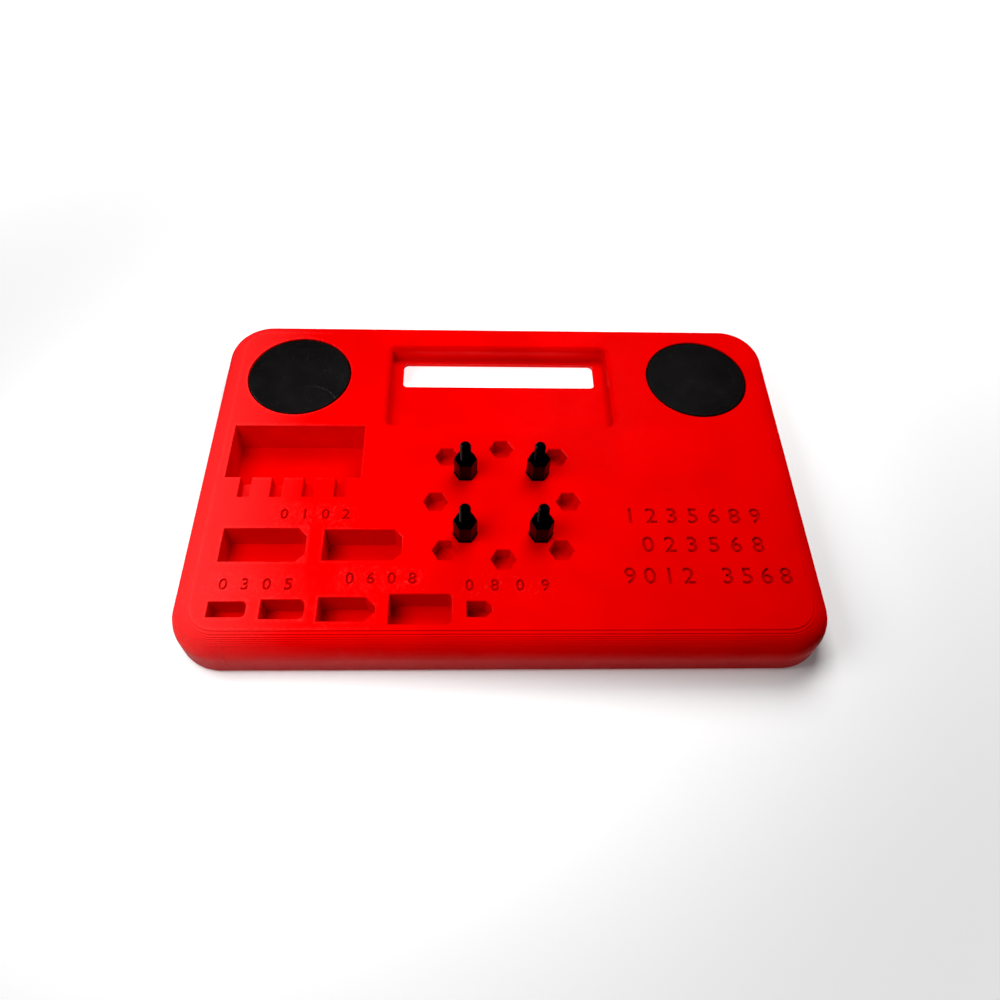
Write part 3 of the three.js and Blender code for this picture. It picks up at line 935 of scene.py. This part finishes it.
def thread(bm, crest, root, pitch, low, high, steps=32):
    """A helical ridge about the Z axis, cut square at both ends and capped."""
    start = low - 1.5 * pitch
    turns = math.ceil((high - start) / pitch) + 1
    flank = 0.36 * pitch
    flat = 0.12 * pitch
    heights = (0, flank, flank + flat, 2 * flank + flat, pitch)
    radii = (root, crest, crest, root, root)
    verts = [bm.verts.new((radius, 0, start + height)) for radius, height in zip(radii, heights)]
    edges = [bm.edges.new(pair) for pair in zip(verts, verts[1:])]
    bmesh.ops.spin(bm, geom=verts + edges, cent=(0, 0, 0), axis=(0, 0, 1), dvec=(0, 0, pitch / steps),
                   angle=FULL_TURN * turns, steps=steps * turns)
    bmesh.ops.remove_doubles(bm, verts=bm.verts, dist=WELD)
    for height, clear_low in ((low, True), (high, False)):
        geometry = [*bm.verts, *bm.edges, *bm.faces]
        bmesh.ops.bisect_plane(bm, geom=geometry, plane_co=(0, 0, height), plane_no=(0, 0, 1),
                               clear_inner=clear_low, clear_outer=not clear_low)
    bmesh.ops.holes_fill(bm, edges=[edge for edge in bm.edges if edge.is_boundary], sides=0)


def standoff_blank(settings, box):
    """One standoff about the Z axis, standing on z = 0: body, stud and tapped hole."""
    low, high = box
    radius = (high.x - low.x) / 2
    tip = high.z - low.z
    stud_radius = 1.5 * MM
    stud_length = tap_depth = 6 * MM
    shoulder = tip - stud_length
    rise = 0.6 * settings.chamfer
    waist = radius + 0.2 * MM

    bm = bmesh.new()
    matrix = Matrix.Translation((0, 0, shoulder / 2)) @ Matrix.Rotation(math.pi / 2, 4, "Z")
    bmesh.ops.create_cone(bm, cap_ends=True, segments=6, radius1=radius, radius2=radius, depth=shoulder,
                          matrix=matrix)
    body = object_from(bm, "standoff")

    barrel = [(waist - settings.chamfer, -PAST / 100), (waist, rise), (waist, shoulder - rise),
              (waist - settings.chamfer, shoulder + PAST / 100)]
    combine(body, lathed("barrel", barrel, FACETS), "INTERSECT")

    root = stud_radius - settings.thread_depth
    bm = bmesh.new()
    thread(bm, stud_radius, root, settings.pitch, shoulder - 0.4 * MM, tip)
    stud = object_from(bm, "stud")
    clear = stud_radius + 0.1 * MM
    taper = [(clear, 0), (clear, tip - 0.55 * MM), (root - 0.12 * MM, tip + 0.005 * MM)]
    combine(stud, lathed("stud_tip", taper, FACETS_SMALL), "INTERSECT")
    combine(body, stud, "UNION")

    bm = bmesh.new()
    thread(bm, stud_radius, root, settings.pitch, -PAST, tap_depth)
    combine(body, object_from(bm, "tap"), "DIFFERENCE")
    countersink = [(stud_radius + 0.7 * MM, -0.5 * MM), (root, 0.5 * MM)]
    combine(body, lathed("countersink", countersink, FACETS_SMALL), "DIFFERENCE")
    return body


class WORKPLATE_OT_standoffs(bpy.types.Operator):
    """Build the four push-in standoffs with their threads"""

    bl_idname = "workplate.standoffs"
    bl_label = "Standoffs"

    def execute(self, context):
        settings = context.scene.work_plate_standoffs
        material = black_nylon(settings)
        pattern = standoff_blank(settings, STANDOFF_BOXES[CORNERS[0]])
        for index, corner in enumerate(CORNERS):
            name = f"standoff_{corner}"
            low, _ = STANDOFF_BOXES[corner]
            place = middle(STANDOFF_BOXES[corner])
            mesh = pattern.data.copy()
            turn = Matrix.Rotation(index * FULL_TURN / 6, 4, "Z")
            mesh.transform(Matrix.Translation((place.x, place.y, low.z)) @ turn)
            piece = bpy.data.objects.new(f"{name}_nylon", mesh)
            context.scene.collection.objects.link(piece)
            finish_piece(piece, material, name, "black_nylon", name)
        bpy.data.objects.remove(pattern)
        return {"FINISHED"}


def arc(centre, radius, start, end, steps):
    """(radius, height) points along an arc, with its angles in degrees."""
    points = []
    for index in range(steps + 1):
        angle = math.radians(start + (end - start) * index / steps)
        points.append((centre[0] + radius * math.cos(angle), centre[1] + radius * math.sin(angle)))
    return points


class WORKPLATE_OT_magnets(bpy.types.Operator):
    """Build the two rubber jackets, and finish the tapes, backings and magnets under them"""

    bl_idname = "workplate.magnets"
    bl_label = "Magnets"

    def execute(self, context):
        settings = context.scene.work_plate_magnets
        rubber, steel, nickel, tape = magnet_rubber(settings), zinc_steel(), nickel_plate(), foam_tape()
        wall = 0.9 * MM
        face = 1.1 * MM
        for side in SIDES:
            low, high = JACKET_BOXES[side]
            spot = middle(JACKET_BOXES[side]).xy
            radius = (high.x - low.x) / 2
            rim = settings.rim
            inside = radius - wall
            outer_wall = [(inside, low.z), (radius - 0.2 * MM, low.z), (radius, low.z + 0.2 * MM)]
            outer_wall += arc((radius - rim, high.z - rim), rim, 0, 90, 6)
            jacket = lathed(f"{side}_magnet_face", outer_wall, FACETS_LARGE, spot)
            hollow = [(inside, low.z - PAST), (inside, high.z - face)]
            combine(jacket, lathed("hollow", hollow, FACETS_LARGE, spot), "DIFFERENCE")
            finish_piece(jacket, rubber, ROOT, "magnet_rubber", f"{side}_magnet_jacket")
            repaint(f"{side}_magnet_tape", tape)
            repaint(f"{side}_magnet_backing", steel)
            for index in range(CORES_PER_MAGNET):
                repaint(f"{side}_magnet_core_{index + 1}", nickel)
        return {"FINISHED"}


def repaint(node, material):
    """Gives a CAD node that stays a finished material."""
    piece = frame["nodes"][node]
    piece.data.materials.clear()
    piece.data.materials.append(material)


class WORKPLATE_OT_feet(bpy.types.Operator):
    """Build the four rubber feet, each with a moulded dimple"""

    bl_idname = "workplate.feet"
    bl_label = "Feet"

    def execute(self, context):
        settings = context.scene.work_plate_feet
        rubber = foot_rubber(settings)
        dimple = 1.6 * MM
        dimple_depth = 0.35 * MM
        for corner in CORNERS:
            name = f"foot_{corner}"
            low, high = FOOT_BOXES[corner]
            spot = middle(FOOT_BOXES[corner]).xy
            radius = (high.x - low.x) / 2
            edge = settings.edge
            profile = [(dimple - 0.4 * MM, low.z + dimple_depth), (dimple, low.z + 0.1 * MM),
                       (dimple + 0.15 * MM, low.z)]
            profile += arc((radius - edge, low.z + edge), edge, -90, 0, 6)
            profile += [(radius, high.z - 0.15 * MM), (radius - 0.15 * MM, high.z)]
            foot = lathed(f"{name}_rubber", profile, FACETS, spot)
            finish_piece(foot, rubber, ROOT, "foot_rubber", name)
        return {"FINISHED"}


# ---------------------------------------------------------------------------------------------------------
# Stage


def soft_light(name, place, aim, size, watts):
    """A square light that points at a spot, and leaves no reflection of its own."""
    lamp = bpy.data.lights.new(name, "AREA")
    lamp.shape = "SQUARE"
    lamp.size = size
    lamp.energy = watts
    light = bpy.data.objects.new(name, lamp)
    light.location = place
    light.rotation_euler = (Vector(aim) - Vector(place)).to_track_quat("-Z", "Y").to_euler()
    light.visible_glossy = False
    bpy.context.scene.collection.objects.link(light)
    return light


def surroundings(scene, ambient):
    """White to look at, and dimmer as a light, so that the reds stay deep."""
    world = bpy.data.worlds.new("studio")
    scene.world = world
    world.use_nodes = True
    tree = world.node_tree
    tree.nodes.clear()
    output = tree.nodes.new("ShaderNodeOutputWorld")
    mix = tree.nodes.new("ShaderNodeMixShader")
    for slot, strength in ((1, ambient), (2, 1.0)):
        background = tree.nodes.new("ShaderNodeBackground")
        background.inputs["Color"].default_value = (1, 1, 1, 1)
        background.inputs["Strength"].default_value = strength
        tree.links.new(background.outputs["Background"], mix.inputs[slot])
    path = tree.nodes.new("ShaderNodeLightPath")
    tree.links.new(path.outputs["Is Camera Ray"], mix.inputs["Fac"])
    tree.links.new(mix.outputs["Shader"], output.inputs["Surface"])


class WORKPLATE_OT_stage(bpy.types.Operator):
    """Set up the camera, the pale floor and the soft studio light"""

    bl_idname = "workplate.stage"
    bl_label = "Stage"

    def execute(self, context):
        settings = context.scene.work_plate_stage
        scene = context.scene
        camera_data = bpy.data.cameras.new("camera")
        camera_data.lens = settings.lens
        camera_data.sensor_width = 36
        camera_data.clip_start = 1 * MM
        camera = bpy.data.objects.new("camera", camera_data)
        camera.location = settings.camera_place
        camera.rotation_euler = settings.camera_turn
        scene.collection.objects.link(camera)
        scene.camera = camera

        bm = bmesh.new()
        bmesh.ops.create_grid(bm, x_segments=1, y_segments=1, size=4,
                              matrix=Matrix.Translation((0, 0, CAD_BOX[0].z)))
        mesh = bpy.data.meshes.new("floor")
        bm.to_mesh(mesh)
        bm.free()
        floor = bpy.data.objects.new("floor", mesh)
        floor.data.materials.append(pale_floor(settings.floor))
        scene.collection.objects.link(floor)

        aim = (0, 0, TOP)
        soft_light("key", (-0.09, -0.045, 0.13), aim, 0.10, settings.key)
        soft_light("back", (0.05, 0.13, 0.22), aim, 0.16, settings.back)
        soft_light("front", (-0.10, -0.45, 0.20), aim, 0.40, settings.front)
        gloss = soft_light("gloss", (-0.40, 0.08, 0.17), (-0.07, 0, TOP), 0.14, settings.gloss)
        gloss.visible_glossy = True
        gloss.visible_diffuse = False
        surroundings(scene, settings.ambient)
        scene.view_settings.view_transform = "Standard"
        scene.view_settings.use_curve_mapping = True
        curves = scene.view_settings.curve_mapping
        curves.black_level = (settings.black_level, settings.black_level, settings.black_level)
        curves.update()
        return {"FINISHED"}


# ---------------------------------------------------------------------------------------------------------
# Panel, registration and main


OPERATORS = (
    WORKPLATE_OT_plate,
    WORKPLATE_OT_standoffs,
    WORKPLATE_OT_magnets,
    WORKPLATE_OT_feet,
    WORKPLATE_OT_stage,
)
SETTINGS = {
    "work_plate": PlateSettings,
    "work_plate_standoffs": StandoffSettings,
    "work_plate_magnets": MagnetSettings,
    "work_plate_feet": FootSettings,
    "work_plate_stage": StageSettings,
}


class WORKPLATE_PT_panel(bpy.types.Panel):
    """Lists the pieces and their settings"""

    bl_label = "Soldering work plate"
    bl_idname = "WORKPLATE_PT_panel"
    bl_space_type = "VIEW_3D"
    bl_region_type = "UI"
    bl_category = "Work plate"

    def draw(self, context):
        for operator, name in zip(OPERATORS, SETTINGS):
            box = self.layout.box()
            box.operator(operator.bl_idname)
            settings = getattr(context.scene, name)
            for key in SETTINGS[name].__annotations__:
                box.prop(settings, key)


CLASSES = (*SETTINGS.values(), *OPERATORS, WORKPLATE_PT_panel)


def register():
    for cls in CLASSES:
        bpy.utils.register_class(cls)
    for name, group in SETTINGS.items():
        setattr(bpy.types.Scene, name, bpy.props.PointerProperty(type=group))


def unregister():
    for name in SETTINGS:
        delattr(bpy.types.Scene, name)
    for cls in reversed(CLASSES):
        bpy.utils.unregister_class(cls)


def main():
    register()
    bpy.ops.workplate.plate()
    bpy.ops.workplate.standoffs()
    bpy.ops.workplate.magnets()
    bpy.ops.workplate.feet()
    bpy.ops.workplate.stage()


if __name__ == "__main__":
    main()
